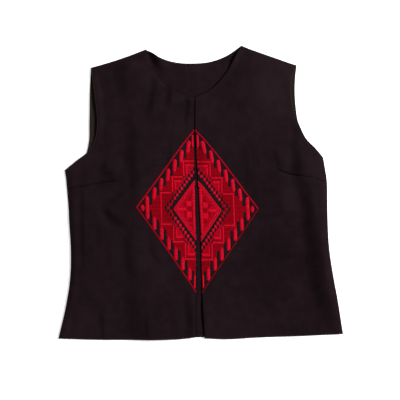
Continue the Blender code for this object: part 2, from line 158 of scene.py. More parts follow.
def makeStudio():
    scene.view_settings.view_transform = "Standard"
    bpy.ops.mesh.primitive_plane_add(size=studio["floorSize"], location=(0, 0, -studio["floorDrop"]))
    floor = bpy.context.object
    floor.name = "floor"
    paint = Look("floorPaint")
    floor.data.materials.append(paint.complete(studio, studio["floorColour"]))
    glow = {"Emission Color": studio["floorColour"], "Emission Strength": studio["floorGlow"]}
    paint.feed(paint.shader, glow)

    world = bpy.data.worlds.new("softRoom")
    world.use_nodes = True
    sky = world.node_tree.nodes["Background"]
    sky.inputs["Color"].default_value = studio["skyColour"]
    sky.inputs["Strength"].default_value = studio["skyStrength"]
    scene.world = world
    bpy.ops.object.light_add(type="AREA", location=studio["keyFrom"])
    light = bpy.context.object
    light.name = "keyLight"
    light.data.size = studio["keySize"]
    light.data.energy = studio["keyPower"]
    light.rotation_euler = (-Vector(studio["keyFrom"])).to_track_quat("-Z", "Y").to_euler()

    x, y, z = studio["lookAt"]
    bpy.ops.object.camera_add(location=(x * mm, y * mm, (z + studio["cameraHeight"]) * mm))
    camera = bpy.context.object
    camera.name = "camera"
    camera.data.lens = studio["lens"]
    camera.data.sensor_width = studio["sensor"]
    scene.camera = camera


makeStudio()
print("studio ready")


# Lines and patches


def smoothLine(points, steps, corners=()):  # smooth, with steps[i] steps to point i + 1
    points = np.array(points, float)
    ahead = np.diff(points, axis=0)
    span = np.hypot(ahead[:, 0], ahead[:, 1])
    leave, arrive = ahead.copy(), ahead.copy()
    for i in range(1, len(points) - 1):
        if i not in corners:
            before, after = ahead[i - 1] / span[i - 1], ahead[i] / span[i]
            slope = (before * span[i] + after * span[i - 1]) / (span[i - 1] + span[i])
            arrive[i - 1], leave[i] = slope * span[i - 1], slope * span[i]
    line = [points[0]]
    for i, count in enumerate(steps):
        t = (np.arange(count) + 1)[:, None] / count
        line.extend(
            points[i] * (2 * t**3 - 3 * t**2 + 1)
            + leave[i] * (t**3 - 2 * t**2 + t)
            + points[i + 1] * (3 * t**2 - 2 * t**3)
            + arrive[i] * (t**3 - t**2)
        )
    return np.array(line)


def evenLine(points, steps, corners=()):
    return smoothLine(points, [steps] * (len(points) - 1), corners)


def edgesOf(sections, fine, nearCorner, farCorner):  # both edges of a table, and the underarm's place
    names = list(sections)
    steps = [sections[n][4] * fine for n in names[1:]]
    places = np.array([sections[n][:4] for n in names])
    near = smoothLine(places[:, :2], steps, (names.index(nearCorner),))
    far = smoothLine(places[:, 2:], steps, (names.index(farCorner),))
    return near, far, sum(steps[: names.index("underarm")])


def saggingLine(start, end, shares, sag):
    shares = shares[:, None]
    drop = np.array([0.0, -sag])
    return np.array(start) * (1 - shares) + np.array(end) * shares + drop * 4 * shares * (1 - shares)


def lineAtShares(line, shares):
    length = np.concatenate([[0], np.cumsum(np.hypot(*np.diff(line, axis=0).T))])
    at = shares * length[-1]
    return np.stack([np.interp(at, length, line[:, 0]), np.interp(at, length, line[:, 1])], 1)


def patch(top, bottom, near, far, shares):  # near and far run down, top and bottom join them
    s = shares[None, :, None]
    t = np.linspace(0, 1, len(near))[:, None, None]
    across = near[:, None] * (1 - s) + far[:, None] * s
    down = top[None] * (1 - t) + bottom[None] * t
    twist = (top[0] * (1 - s) + top[-1] * s) * (1 - t)
    twist = twist + (bottom[0] * (1 - s) + bottom[-1] * s) * t
    return across + down - twist


def distanceTo(places, line):  # with the share of the line there, and 1 on its left hand or -1
    nearest = np.full(len(places), np.inf)
    share = np.zeros(len(places))
    hand = np.zeros(len(places))
    for i in range(len(line) - 1):
        along = line[i + 1] - line[i]
        t = np.clip((places - line[i]) @ along / (along @ along), 0, 1)
        gap = places - line[i] - t[:, None] * along
        away = np.hypot(*gap.T)
        closer = away < nearest
        nearest[closer] = away[closer]
        share[closer] = (i + t[closer]) / (len(line) - 1)
        cross = along[0] * gap[:, 1] - along[1] * gap[:, 0]
        hand[closer] = np.where(cross[closer] < 0, -1, 1)
    return nearest, share, hand


def softStep(value):
    value = np.clip(value, 0, 1)
    return value * value * (3 - 2 * value)


# Cloth

laid = {
    "cloth": 1.0,  # thickness of the cloth with its facing
    "seamTop": 2.24,  # upper face of a front where it is sewn to the back
    "puff": 2.6,
    "shoulderRoll": 22.0,
    "sideRoll": {"right": 13.0, "left": 15.0},
    "sideFoldShare": 0.55,  # of the left side's fold, that lifts its seam and the back too
    "looseWidth": 34.0,
    "looseShare": 0.34,
    "edgeHold": {"right": 0.0, "left": 0.8},  # of the lift, lost along the middle of the centre edge
    "holdWidth": 14.0,
    "holdLow": -205.0,
    "holdHigh": 130.0,
    "holdFade": 30.0,
    "stiffShare": 0.45,
    "stiffEdge": 45.0,
    "shoulderSag": 1.9,
    "columns": 21,
    "sideCrowding": 1.25,
    "fine": 6,  # steps of the mesh in one step of the table
    "foldSteps": 6,
    "hemSteps": 8,
    "turnWidth": 9.0,  # allowance turned in along the neck, armhole and centre edges
    "hemWidth": 24.0,
    "turnEdge": 3.0,
    "turnRise": 0.28,
    "waviness": 0.9,
    "wavePatch": 38.0,
    "crumple": 0.32,
    "crumplePatch": 11.0,
    "seed": {"right": 3.1, "left": 8.7},
    "rimBevel": 0.32,
    "bevelAngle": 55,
    "smoothAngle": 50,
}

# how far the side seams stand up, and how wide that is
sideCurls = {
    "right": (
        ((-244, 40), (-236, -52), (-234, -100), (-242, -201), (-256, -262)),
        (0.3, 0.9, 0.9, 0.9, 0.4), 22,
    ),
    "left": (((220, 62), (227, 0), (229, -100), (246, -196), (256, -254)), (0.4, 0.8, 0.8, 0.8, 0.4), 22),
}

# innerX, innerY (neckline, then centre edge), outerX, outerY (armhole, then side seam), rows
rightSections = {
    "shoulder": (-99.6, 258.2, -199.3, 225, 0),
    "yoke": (-91, 239, -195.2, 197, 2),
    "upperChest": (-76.5, 208, -191.2, 168, 2),
    "neckHollow": (-50, 184, -188.3, 141, 2),
    "neckCorner": (-11.6, 171.2, -187.8, 120, 3),
    "chest": (-12.1, 140, -192, 94.5, 2),
    "armholeTurn": (-12.6, 113, -205.4, 72.6, 2),
    "armholeLow": (-13, 96, -225, 57, 2),
    "underarm": (-12.8, 80, -246.2, 39.8, 2),
    "dartUpper": (-11.8, 48, -241.3, 10, 2),
    "dart": (-11.7, 44, -240.7, 6, 1),
    "dartLower": (-11.6, 40, -240.4, 2, 1),
    "highWaist": (-10.6, -27, -238.3, -52, 4),
    "waist": (-9, -85, -235.4, -100, 3),
    "highHip": (-8.8, -139, -236.4, -155, 4),
    "hip": (-9.2, -179, -243.3, -201, 3),
    "hem": (-7.4, -260.6, -257.6, -263.6, 5),
}
leftSections = {
    "shoulder": (72.1, 265.1, 172, 229.5, 0),
    "yoke": (62.5, 248, 164.2, 209, 2),
    "upperChest": (48, 220.5, 162, 186, 2),
    "neckHollow": (22, 189.4, 163.8, 163, 2),
    "neckCorner": (-11.4, 171, 168.5, 143.5, 3),
    "chest": (-11.3, 141, 177.2, 121, 2),
    "armholeTurn": (-11.6, 124, 189, 96.6, 2),
    "armholeLow": (-11.5, 115, 206.4, 78.6, 2),
    "underarm": (-10.8, 106, 220.2, 62.5, 1),
    "dartUpper": (-9.8, 82, 226.4, 18.4, 3),
    "dart": (-9.6, 78, 226.6, 14.4, 1),
    "dartLower": (-9.4, 74, 226.7, 10.4, 1),
    "highWaist": (-4.4, -12, 227.3, -45, 5),
    "waist": (-1.1, -85, 230.2, -100, 4),
    "highHip": (0, -139, 237.5, -150, 3),
    "hip": (1.2, -180, 246.2, -196, 3),
    "hem": (5.8, -263.2, 256.1, -255.4, 5),
}

# soft domes: points of the crest, half width, height
rightPuffs = {
    "bust": (((-172, 10), (-160, -4), (-146, -22)), 34, 1.4),
    "armholeLip": (((-197, 226), (-192, 190), (-188, 158), (-186, 124), (-192, 90)), 15, 2.9),
    "sidePuff": (((-190, -40), (-196, -100), (-200, -160)), 40, 1.2),
    "sideEdge": (((-231, 24), (-229, -60), (-227, -120), (-232, -190)), 12, 1.1),
    "hemWave": (((-62, -186), (-66, -222), (-73, -264)), 26, 1.2),
}
leftPuffs = {
    "shoulder": (((90, 222), (92, 180), (88, 130)), 62, 3.7),
    "neckLip": (((68, 256), (61, 244), (54, 232)), 10, 2.9),
    "neckLow": (((38, 208), (14, 188), (-9, 173)), 11, 1.2),
    "edgeLip": (((5, -150), (8, -205), (10, -258)), 20, 1.6),
}
# drapes: points of a slope that rises to their left hand, its half width and height at each of them,
# and how far its crest runs on
rightDrapes = {
    "shoulder": (
        ((-137, 252), (-143, 228), (-144, 208), (-141, 188), (-136, 158)), (9, 15, 17, 14, 11), 7.4, 80,
    ),
    "yoke": (((-118, 256), (-110, 240), (-99, 222)), 9, 2.8, 20),
    "chest": (
        ((-133, 150), (-129, 125), (-125, 95), (-127, 59), (-120, 23), (-122, -22), (-128, -84)),
        (11, 12, 12, 15, 13, 12, 12), (3.4, 3.4, 4.2, 7.0, 5.4, 5.2, 4.6), 120,
    ),
    "lower": (
        ((-124, 6), (-130, -70), (-132, -103), (-129, -130), (-123, -157), (-125, -206)),
        (10, 10, 11, 12, 12, 12), (3.6, 3.8, 4.2, 5.4, 5.2, 5.0), 60,
    ),
    "hem": (
        ((-129, -160), (-127, -190), (-121, -222), (-117, -250), (-115, -300)),
        (10, 15, 22, 27, 27), (3.0, 5.0, 8.0, 9.4, 9.4), 90,
    ),
    "besideTip": (((-54, 92), (-56, 64), (-60, 36)), 5, 3.4, 40),
    "hemCrest": (((-99, -206), (-98, -230), (-97, -256), (-97, -300)), 6, 2.2, 40),
    "neckLong": (((-78, 216), (-84, 194), (-88, 172), (-93, 149), (-98, 124)), 8, 4.4, 80),
    "neckShort": (((-55, 204), (-57, 180), (-58.5, 146)), 6.5, 4.0, 60),
    "dartTip": (((-184, 44), (-168, 34), (-150, 22)), 8, 3.2, 24),
    "dartUnder": (((-184, -22), (-163, -43), (-146, -55), (-122, -68)), (8, 10, 11, 9), 6.6, 160),
    "sideLong": (((-214, 30), (-214, -58), (-213, -160)), 5, 2.0, 60),
    "sideLow": (((-232, -200), (-229, -225), (-232, -250)), 6, 1.2, 24),
    "sideShort": (((-186, -40), (-185, -72), (-186, -115)), 6, 1.8, 70),
    "belly": (((-92, -66), (-87, -100), (-74, -134)), 8, 4.6, 90),
    "hemShort": (((-181, -205), (-178, -240), (-176, -280)), 5, 2.0, 22),
    "edgeLow": (((-26, -140), (-24, -193), (-21, -230), (-21, -290)), 10, 7.2, 60),
    "facing": (
        ((-22, 190), (-23.5, 166), (-25, 148), (-26.5, 128), (-27, 90)), (6, 6, 4.5, 2.4, 2.2),
        (3.6, 3.6, 3.0, 2.2, 2.0), 60,
    ),
}
leftDrapes = {
    "armhole": (((172, 136), (170, 84), (171, 50), (174, 0)), (8, 9, 12, 14), (3.0, 5.0, 6.4, 6.4), 60),
    "side": (
        (
            (176, 84), (179, 22), (188, -12), (193, -48), (197, -84), (201, -120), (207, -150),
            (216, -192), (229, -228), (243, -268),
        ),
        (12, 15, 14, 15, 17, 18, 18, 16, 13, 10),
        (7.0, 11.0, 10.2, 9.4, 10.0, 10.6, 10.8, 10.4, 9.0, 6.4), 200,
    ),
    "dartTip": (((130, 84), (136, 62), (143, 40)), 6, 1.9, 50),
    "longInner": (((80, 92), (82, 40), (84, -10)), 6, 1.4, 40),
    "waistUpper": (((84, -42), (104, -42), (148, -38), (186, -30)), 8, (1.0, 3.4, 5.0, 3.0), 70),
    "waistLower": (((96, -122), (119, -121), (161, -115), (200, -104)), 9, (0, 1.6, 6.0, 4.0), 60),
    "hem": (((126, -230), (160, -204), (196, -176)), 14, 4.4, 60),
    "shoulder": (((140, 232), (146, 204), (150, 170)), 8, 1.6, 30),
}
rightDart = ((-241, 7.2), (-211.7, 11.7), (-178.2, 17.6), (-148.7, 21.2))
leftDart = ((226.6, 18), (196.4, 26.6), (160, 32.8), (129.2, 43.4))
rightHem = (
    (-7.4, -260.6), (-30, -263.8), (-85, -265.5), (-150, -265.9), (-200, -265.5), (-257.6, -263.6),
)
leftHem = ((5.8, -263.2), (40, -264.9), (100, -261.8), (180, -258.9), (256.1, -255.4))
dartPress = {
    "width": 4.5,
    "rise": 0.7,
    "grooves": (0.0, 1.0, 1.5, 1.7),  # depths from the side seam, where it lies on the back, to the tip
    "grooveWidth": 1.6,
    "tipFade": 0.12,
}
taper = {"share": 0.3, "puffEnd": 0.45}  # of a fold's length at each end, and a puff's height left there


def toFold(places, points):
    return distanceTo(places, evenLine(points, laid["foldSteps"]))


def fallOff(away, width):  # 1 on a line, and soon 0 beside it
    return np.exp(-((away / width) ** 2))


def valueAt(along, values):  # values spaced evenly along a line
    return np.interp(along, np.linspace(0, 1, len(values)), values)


def atLeast(least, amount):
    return least + (1 - least) * amount


def fromEnds(along):  # 0 at the ends of a line, and 1 between them
    return softStep(np.minimum(along, 1 - along) / taper["share"])


def puffHeights(puffs, places):
    total = np.zeros(len(places))
    for points, halfWidth, height in puffs.values():
        away, along, _ = toFold(places, points)
        ends = atLeast(taper["puffEnd"], fromEnds(along))
        total += height * ends * (0.5 + 0.5 * np.cos(np.pi * np.minimum(away / halfWidth, 1)))
    return total


def drapeHeights(drapes, places):  # a rise to the left hand of each line, and a slow fall beyond it
    total = np.zeros(len(places))
    for points, halfWidths, peaks, crest in drapes.values():
        away, along, hand = toFold(places, points)
        halfWidth = valueAt(along, np.broadcast_to(halfWidths, len(points)))
        height = valueAt(along, np.broadcast_to(peaks, len(points)))
        signed = hand * away
        rise = softStep((signed + halfWidth) / (2 * halfWidth))
        fall = 1 - softStep((signed - halfWidth) / crest)
        total += height * fromEnds(along) * rise * fall
    return total


def curlHeights(places, *sides):
    total = np.zeros(len(places))
    for side in sides:
        points, peaks, width = sideCurls[side]
        away, along, _ = toFold(places, points)
        total += valueAt(along, peaks) * (1 - softStep(away / width))
        if side == "left":
            total += laid["sideFoldShare"] * drapeHeights({"side": leftDrapes["side"]}, places)
    return total


def dartHeights(dart, places):
    away, along, _ = toFold(places, dart)
    fade = softStep((1 - along) / dartPress["tipFade"])
    near = away / dartPress["width"]
    pressed = dartPress["rise"] * near * np.exp(1 - near)
    depth = valueAt(along, dartPress["grooves"])
    return fade * (pressed - depth * fallOff(away, dartPress["grooveWidth"]))


def unevenness(places, seed, patchSize):
    scale = 1 / patchSize
    return np.array([noise.noise(Vector((x * scale, y * scale, seed))) for x, y in places])


def makeSheet(name, rows, heights, thickness):  # rows of places, and the height of the upper face
    lines, columns = rows.shape[:2]
    bpy.ops.mesh.primitive_grid_add(x_subdivisions=columns - 1, y_subdivisions=lines - 1, size=2)
    piece = bpy.context.object
    piece.name = name
    flat = placesOf(piece)
    i = np.rint((flat[:, 0] + 1) / 2 * (columns - 1)).astype(int)
    j = np.rint((1 - flat[:, 1]) / 2 * (lines - 1)).astype(int)
    placed = np.column_stack([rows[j, i], heights[j, i]]) * mm
    piece.data.vertices.foreach_set("co", placed.ravel())
    piece.data.update()
    if piece.data.polygons[0].normal.z < 0:
        editAll(piece)
        bpy.ops.mesh.flip_normals()
        setMode("OBJECT")
    applyModifier(piece, "SOLIDIFY", thickness=thickness * mm, offset=-1.0, use_even_offset=True)
    bevel = {"width": laid["rimBevel"] * mm, "angle_limit": math.radians(laid["bevelAngle"])}
    applyModifier(piece, "BEVEL", segments=2, limit_method="ANGLE", **bevel)
    bpy.ops.object.shade_smooth_by_angle(angle=math.radians(laid["smoothAngle"]))
    return piece


wearAndPaintedShade = {
    "rim": 1.3,  # how far the edges are worn
    "pressed": 0.45,  # and how far painted shade reaches in from the fronts' inner edges
    "pressedLow": 1.5,  # the same below the lower of the heights between which it grows
    "pressedBetween": (-200, -150),
    # painted shade along the dart lines, standing in for the shade in their grooves
    "dartShadeWidth": 0.7,
    "dartPaintedShade": 0.8,
    "dartFade": 0.2,  # of its length at the tip
    "fadeAndPaintedShading": 0.4,  # of the cloth in general
    # places painted lighter and darker, partly as fading and partly as painted light and shade: x, y,
    # radius, strength
    "front_right": (
        (-214, 60, 44, 0.3), (-186, 178, 40, 0.15), (-226, -246, 50, 0.5), (-190, -100, 70, -0.15),
        (-70, 70, 80, -0.2), (-24, 150, 26, -0.6), (-128, -32, 48, -0.6), (-165, 24, 34, -0.5),
        (-64, -218, 64, -0.4),
    ),
    "front_left": (
        (136, 188, 70, 0.45), (160, 222, 36, 0.3), (6, 150, 40, 0.4), (30, -240, 50, 0.2),
        (84, -262, 24, 0.3), (150, -120, 130, -0.6), (110, 30, 90, -0.3), (200, -240, 90, -0.4),
    ),
    "back": ((-2, -226, 46, 0.2), (0, 236, 40, 0.3)),
}


def addWearAndPaintedShade(piece, spots, *outlines, inner=None, dart=None):  # worn rim, faded cloth with painted light and shade, and painted shade along the inner edge and dart
    places = placesOf(piece)[:, :2] / mm
    toRim = np.min([distanceTo(places, outline)[0] for outline in outlines], axis=0)
    # general fading, plus spots of painted light and shade
    fadeAndPaintedShading = np.full(len(places), wearAndPaintedShade["fadeAndPaintedShading"])
    for x, y, radius, strength in spots:
        away = np.hypot(places[:, 0] - x, places[:, 1] - y)
        fadeAndPaintedShading += strength * softStep(1 - away / radius)
    # painted shade along the inner edge and the dart line
    pressed = np.zeros(len(places))
    if inner is not None:
        toDart, along, _ = toFold(places, dart)
        onDart = fallOff(toDart, wearAndPaintedShade["dartShadeWidth"]) * softStep((1 - along) / wearAndPaintedShade["dartFade"])
        reach = np.interp(places[:, 1], wearAndPaintedShade["pressedBetween"], (wearAndPaintedShade["pressedLow"], wearAndPaintedShade["pressed"]))
        pressed = np.maximum(fallOff(distanceTo(places, inner)[0], reach), wearAndPaintedShade["dartPaintedShade"] * onDart)
    looks = {"rim": fallOff(toRim, wearAndPaintedShade["rim"]), "fadeAndPaintedShading": np.clip(fadeAndPaintedShading, 0, 1), "pressed": pressed}
    for name, values in looks.items():
        layer = piece.data.attributes.new(name, "FLOAT", "POINT")
        layer.data.foreach_set("value", values)


class FrontCut:  # one front: its edges, and the place and height of every point of it
    def __init__(self, name, side, sections, puffs, drapes, dart, hem):
        self.name, self.side, self.dart = name, side, dart
        self.middle = diamond["middleY"][name]
        self.upperStretch = (diamond["topY"] - self.middle) / diamond["v"]
        self.lowerStretch = (self.middle - diamond["bottomY"]) / diamond["v"]
        self.puffs, self.drapes = puffs, drapes
        edges = edgesOf(sections, laid["fine"], "neckCorner", "underarm")
        self.inner, self.outer, self.underarm = edges
        count = laid["columns"] * laid["fine"]
        shares = 1 - (1 - np.arange(count + 1) / count) ** laid["sideCrowding"]
        self.top = saggingLine(self.inner[0], self.outer[0], shares, laid["shoulderSag"])
        self.bottom = lineAtShares(evenLine(hem, laid["hemSteps"]), shares)
        self.rows = patch(self.top, self.bottom, self.inner, self.outer, shares)

    def centreX(self, y):  # of the centre edge
        return np.interp(y, self.inner[::-1, 1], self.inner[::-1, 0])

    def drawn(self, places):  # place on the embroidery's drawing
        v = places[:, 1] - self.middle
        v = v / np.where(v > 0, self.upperStretch, self.lowerStretch)
        u = (places[:, 0] - self.centreX(places[:, 1])) * self.side - diamond["margin"]
        return u, v

    def worn(self, u, v):  # place on the front of a place on the drawing, whose upper half bows outwards
        y = self.middle + v * np.where(v > 0, self.upperStretch, self.lowerStretch)
        share = np.clip(v / diamond["v"], 0, 1)
        bow = diamond["bow"][self.name] * diamond["bowScale"] * share**2 * (1 - share)
        bow = bow * softStep(np.maximum(u, 0) / diamond["bowFrom"])
        return np.stack([self.centreX(y) + self.side * (diamond["margin"] + u + bow), y], -1)

    def heights(self):
        places = self.rows.reshape(-1, 2)
        toShoulder = distanceTo(places, self.top)[0]
        toSide = distanceTo(places, self.outer[self.underarm :])[0]
        toArmhole = distanceTo(places, self.outer[: self.underarm + 1])[0]
        toInner = distanceTo(places, self.inner)[0]
        toHem = distanceTo(places, self.bottom)[0]
        toLoose = np.minimum(np.minimum(toInner, toHem), toArmhole)
        nearSeam = np.minimum(toShoulder / laid["shoulderRoll"], toSide / laid["sideRoll"][self.name])
        roll = 1 - (1 - np.minimum(nearSeam, 1)) ** 2
        share = atLeast(laid["looseShare"], softStep(toLoose / laid["looseWidth"]))
        u, v = self.drawn(places)
        outside = (u / diamond["u"] + np.abs(v) / diamond["v"] - 1) * diamond["u"]
        stiff = atLeast(laid["stiffShare"], softStep(outside / laid["stiffEdge"]))
        folds = puffHeights(self.puffs, places) + drapeHeights(self.drapes, places)
        if self.name == "left":
            folds -= laid["sideFoldShare"] * drapeHeights({"side": self.drapes["side"]}, places)
        lift = laid["puff"] * share + folds * stiff
        for size, depth in (("wavePatch", "waviness"), ("crumplePatch", "crumple")):
            lift += laid[depth] * unevenness(places, laid["seed"][self.name], laid[size]) * stiff
        toHoldEnd = np.minimum(places[:, 1] - laid["holdLow"], laid["holdHigh"] - places[:, 1])
        held = (1 - softStep(toInner / laid["holdWidth"])) * softStep(toHoldEnd / laid["holdFade"])
        lift *= 1 - laid["edgeHold"][self.name] * held
        toTurned = np.minimum(toInner, toArmhole)
        inTurn = np.maximum(laid["turnWidth"] - toTurned, laid["hemWidth"] - toHem)
        turned = softStep((inTurn + laid["turnEdge"] / 2) / laid["turnEdge"])
        height = laid["seamTop"] + roll * np.maximum(lift, 0) + turned * laid["turnRise"] * roll
        height += dartHeights(self.dart, places) + curlHeights(places, self.name)
        return height.reshape(self.rows.shape[:2])


diamond = {
    "u": 106.0,  # from the centre edge to the outer corner
    "v": 147.0,  # from the middle to the tip
    "topY": 113.2,
    "bottomY": -180.4,
    "middleY": {"right": -26.5, "left": -29.2},
    "margin": 1.0,
    "bow": {"right": 0.8, "left": 4.0},
    "bowScale": 6.75,  # so that all of the bow is there at two thirds of the way up
    "bowFrom": 8.0,
    "drops": {"border": 0.0, "centre": 3.2},  # of a part of the drawing, towards the hem
    "drop": 1.2,  # of the other parts
}

cuts = {
    "right": FrontCut("right", -1, rightSections, rightPuffs, rightDrapes, rightDart, rightHem),
    "left": FrontCut("left", 1, leftSections, leftPuffs, leftDrapes, leftDart, leftHem),
}
fronts = {}
for side, cut in cuts.items():
    fronts[side] = makeSheet("cloth_front_" + side, cut.rows, cut.heights(), laid["cloth"])
    edges = (cut.outer, cut.top, cut.bottom)
    addWearAndPaintedShade(fronts[side], wearAndPaintedShade["front_" + side], *edges, inner=cut.inner, dart=cut.dart)
    print("front", side, "laid,", len(fronts[side].data.polygons), "faces")

# rightX, rightY, leftX, leftY, rows
backSections = {
    "shoulder": (-199, 224.6, 172.2, 229, 0),
    "blade": (-200.7, 190, 169.6, 205, 3),
    "midArmhole": (-201.8, 126, 170, 161, 4),
    "armholeTurn": (-203.2, 88, 177.4, 119, 3),
    "armholeLow": (-208.9, 67, 197, 85.6, 2),
    "underarm": (-245.1, 38.9, 219.4, 61, 3),
    "highWaist": (-237.6, -52, 226.6, -45, 4),
    "waist": (-234.7, -100, 229.5, -100, 3),
    "hip": (-242.6, -201, 245.5, -196, 4),
    "hem": (-257, -262.6, 255.2, -254.4, 3),
}
backTop = (
    (-199, 224.6), (-148, 239.4), (-99.6, 257.4), (-92, 253.4), (-75.5, 243.2), (-40, 233.8),
    (-13, 232.8), (14, 235.3), (47, 247.2), (72.1, 264.3), (122, 246.6), (172.2, 229),
)
backDrapes = {
    "neckCorner": (
        ((-98, 276), (-90, 254), (-83, 238), (-74, 222), (-66, 206)), 7, (8.5, 8.5, 7.0, 4.0, 1.0), 30,
    ),
    "neckMiddle": (((-40, 236), (-38, 214), (-42, 190)), 9, 0.7, 40),
}
backSeam = {
    "line": ((-13.6, 240), (-12.5, 120), (-4, -120), (0, -270)),
    "width": 1.3,
    "depth": 0.5,
    "rise": 0.5,
    "riseWidths": 5,  # how many times wider the rise beside the seam is
}
backLaid = {"top": 1.2, "cloth": 1.15, "hemSag": 3.0, "fine": 4, "topSteps": 12, "neckCorners": (2, 9)}


def makeBack():
    right, left, underarm = edgesOf(backSections, backLaid["fine"], "underarm", "underarm")
    top = evenLine(backTop, backLaid["topSteps"], backLaid["neckCorners"])
    shares = (top[:, 0] - top[0, 0]) / (top[-1, 0] - top[0, 0])
    bottom = saggingLine(right[-1], left[-1], shares, backLaid["hemSag"])
    rows = patch(top, bottom, right, left, shares)
    places = rows.reshape(-1, 2)
    heights = backLaid["top"] + drapeHeights(backDrapes, places) + curlHeights(places, "right", "left")
    fromSeam = toFold(places, backSeam["line"])[0] / backSeam["width"]
    heights += backSeam["rise"] * fallOff(fromSeam, backSeam["riseWidths"])
    heights -= backSeam["depth"] * fallOff(fromSeam, 1)
    heights = heights.reshape(rows.shape[:2])
    piece = makeSheet("cloth_back", rows, heights, backLaid["cloth"])
    addWearAndPaintedShade(piece, wearAndPaintedShade["back"], right, left, top, bottom)
    return piece, {"right": right[: underarm + 1], "left": left[: underarm + 1]}


back, backArmholes = makeBack()
print("back laid,", len(back.data.polygons), "faces")


# Facing turned in along the back's armholes, of a thinner, browner cloth
facing = {
    "width": 12.0,
    "first": 0.15,  # from the armhole's edge
    "shares": (0.02, 0.97),  # of the armhole
    "above": 0.42,
    "cloth": 0.35,
    "steps": 12,
    "columns": 160,
    "endColumns": 40,  # over which the curl grows
    "curl": 0.9,
    "curlWidth": 6.0,
}


def makeFacing(side):
    line = lineAtShares(backArmholes[side], np.linspace(*facing["shares"], facing["columns"]))
    along = np.gradient(line, axis=0)
    along /= np.hypot(*along.T)[:, None]
    inwards = np.stack([along[:, 1], -along[:, 0]], -1) * cuts[side].side
    depths = np.linspace(facing["first"], facing["width"], facing["steps"] + 1)
    rows = line[:, None] + inwards[:, None] * depths[None, :, None]
    curl = facing["curl"] * softStep(1 - depths / facing["curlWidth"])
    column = np.arange(facing["columns"])
    ends = softStep(np.minimum(column, column[::-1]) / facing["endColumns"])
    follow = curlHeights(rows.reshape(-1, 2), "right", "left").reshape(rows.shape[:2])
    heights = backLaid["top"] + facing["above"] + follow + curl[None] * ends[:, None]
    piece = makeSheet("facing_" + side, rows, heights, facing["cloth"])
    addWearAndPaintedShade(piece, (), rows[:, 0])
    return piece


# Embroidery, drawn with u outwards from the centre edge and v up from the middle

thread = {
    "width": 0.78,
    "height": 0.5,
    "pitch": 0.68,
    "sink": 0.12,  # of a stitch's ends in the cloth
    "row": 3.75,  # length of a stitch in the filled grounds
    "shortest": 1.1,
    "rowStep": 0.3,
    "overlap": 0.3,  # of one row's stitches on the next
    "first": 0.1,  # u of a zone's inner end at the centre edge
    "nearest": -0.75,  # u of the stitches nearest the edge
    "reach": 0.5,  # at least this far beyond that, or a stitch is left out
    "unevenWidth": 0.07,
    "unevenEnd": 0.16,
    "unevenAside": 0.25,  # of the same to the sides
    "unevenTone": 0.07,
    "mapStep": 2.0,  # of the heights of the cloth under the stitches
    "seed": 41,
}
tone = {
    "deep": 0.2,
    "ground": 0.18,
    "infill": 0.48,
    "fill": 0.49,
    "line": 0.84,
    "secondLine": 0.8,
    "bar": 0.85,
    "dull": 0.37,
    # painted light: the wearer's left half of the embroidery is painted lighter, where its cloth slopes
    # away from the light
    "leftPaintedLight": 0.04,
    "barEnd": 0.25,  # darker at a bar's inner end
    "hollow": 0.24,  # darker in a hollow
    # change in even and odd rows
    "groundRows": (-0.04, 0.05),
    "cellRows": (-0.08, 0.02),
    "infillRows": (-0.04, 0.08),
}
bars = {  # of a single bar, u, outer end and inner end
    "count": 6,
    # of the rows: first u, its step, first outer end, its step, and how far it is to the inner end
    "rules": {"upper": (9.2, 12.7, 126.9, -17.7, -21.8), "lower": (11.2, 12.5, -124.6, 17.4, 23.5)},
    "side": (85.6, 22.2, -20.0),
    "edge": (3.6, 138.0, 113.0),  # width, outer and inner end of the half bars on the centre edge
    "lozenge": (94.0, 5.6, -5.6),
    "lozengeTips": (5.0, 5.0),
    "width": 7.3,
    "upperTail": 3.0,  # of the upper bars past their inner ends
    "upperLean": 1.4,
    "outerTip": 3.4,
    "innerTip": 6.5,
    "tipWidth": 1.2,
    "slant": 1.5,
    "rise": 0.7,
    # how far the striped ground goes past the inner ends: between two bars, under one, at the edge
    "gapDip": 6.9,
    "underBar": 1.5,
    "underEdge": 0.5,
    "atSide": 5.0,  # the same from the middle, beyond the last bar
    "fromSide": 3,  # its end beside the side bar
}
for half, (firstU, stepU, firstOuter, stepOuter, length) in bars["rules"].items():
    outers = [firstOuter + k * stepOuter for k in range(bars["count"])]
    bars[half] = [(firstU + k * stepU, outer, outer + length) for k, outer in enumerate(outers)]
border = {  # width and tone of the upper and the lower line; the lower lines' darker tones are painted shade, where their satin's sheen turns from the light
    "right": ((2.7, 0.5), (2.3, 0.42)),
    "left": ((2.7, 0.5), (1.7, 0.16)),
    "slant": 0.8,
    "rise": 0.3,
}
stairs = {
    "u": (20.5, 41.5, 62.5),  # of the steps' outer corners
    "v": (90.0, 60.0, 30.0),
    "width": 3.4,
    "secondFrom": 5.2,
    "secondTo": 9.0,
    "columns": {1: (0.1, 83), 2: (0.1, 45), 3: (0.1, 56), 4: (20, 60)},  # u of each zone's ends
    "treadShare": 1.38,  # how much further in and wider the second line's treads are than its risers
    "rise": 0.3,
}
dots = {
    "stepU": 4.4,  # width of a square of the chain
    "first": 46.6,  # u of the middle red square's inner edge
    "inset": 0.15,
    "nearest": 0.2,
    "spread": 0.7,  # of the fill over the bare squares
    "rows": 11,
    "bareEdge": 59.5,
    "dullRows": 2,  # on both sides of the middle row, with duller red squares
    "dullExtra": 1.9,  # of the innermost of them inwards
    "rise": 0.15,
}
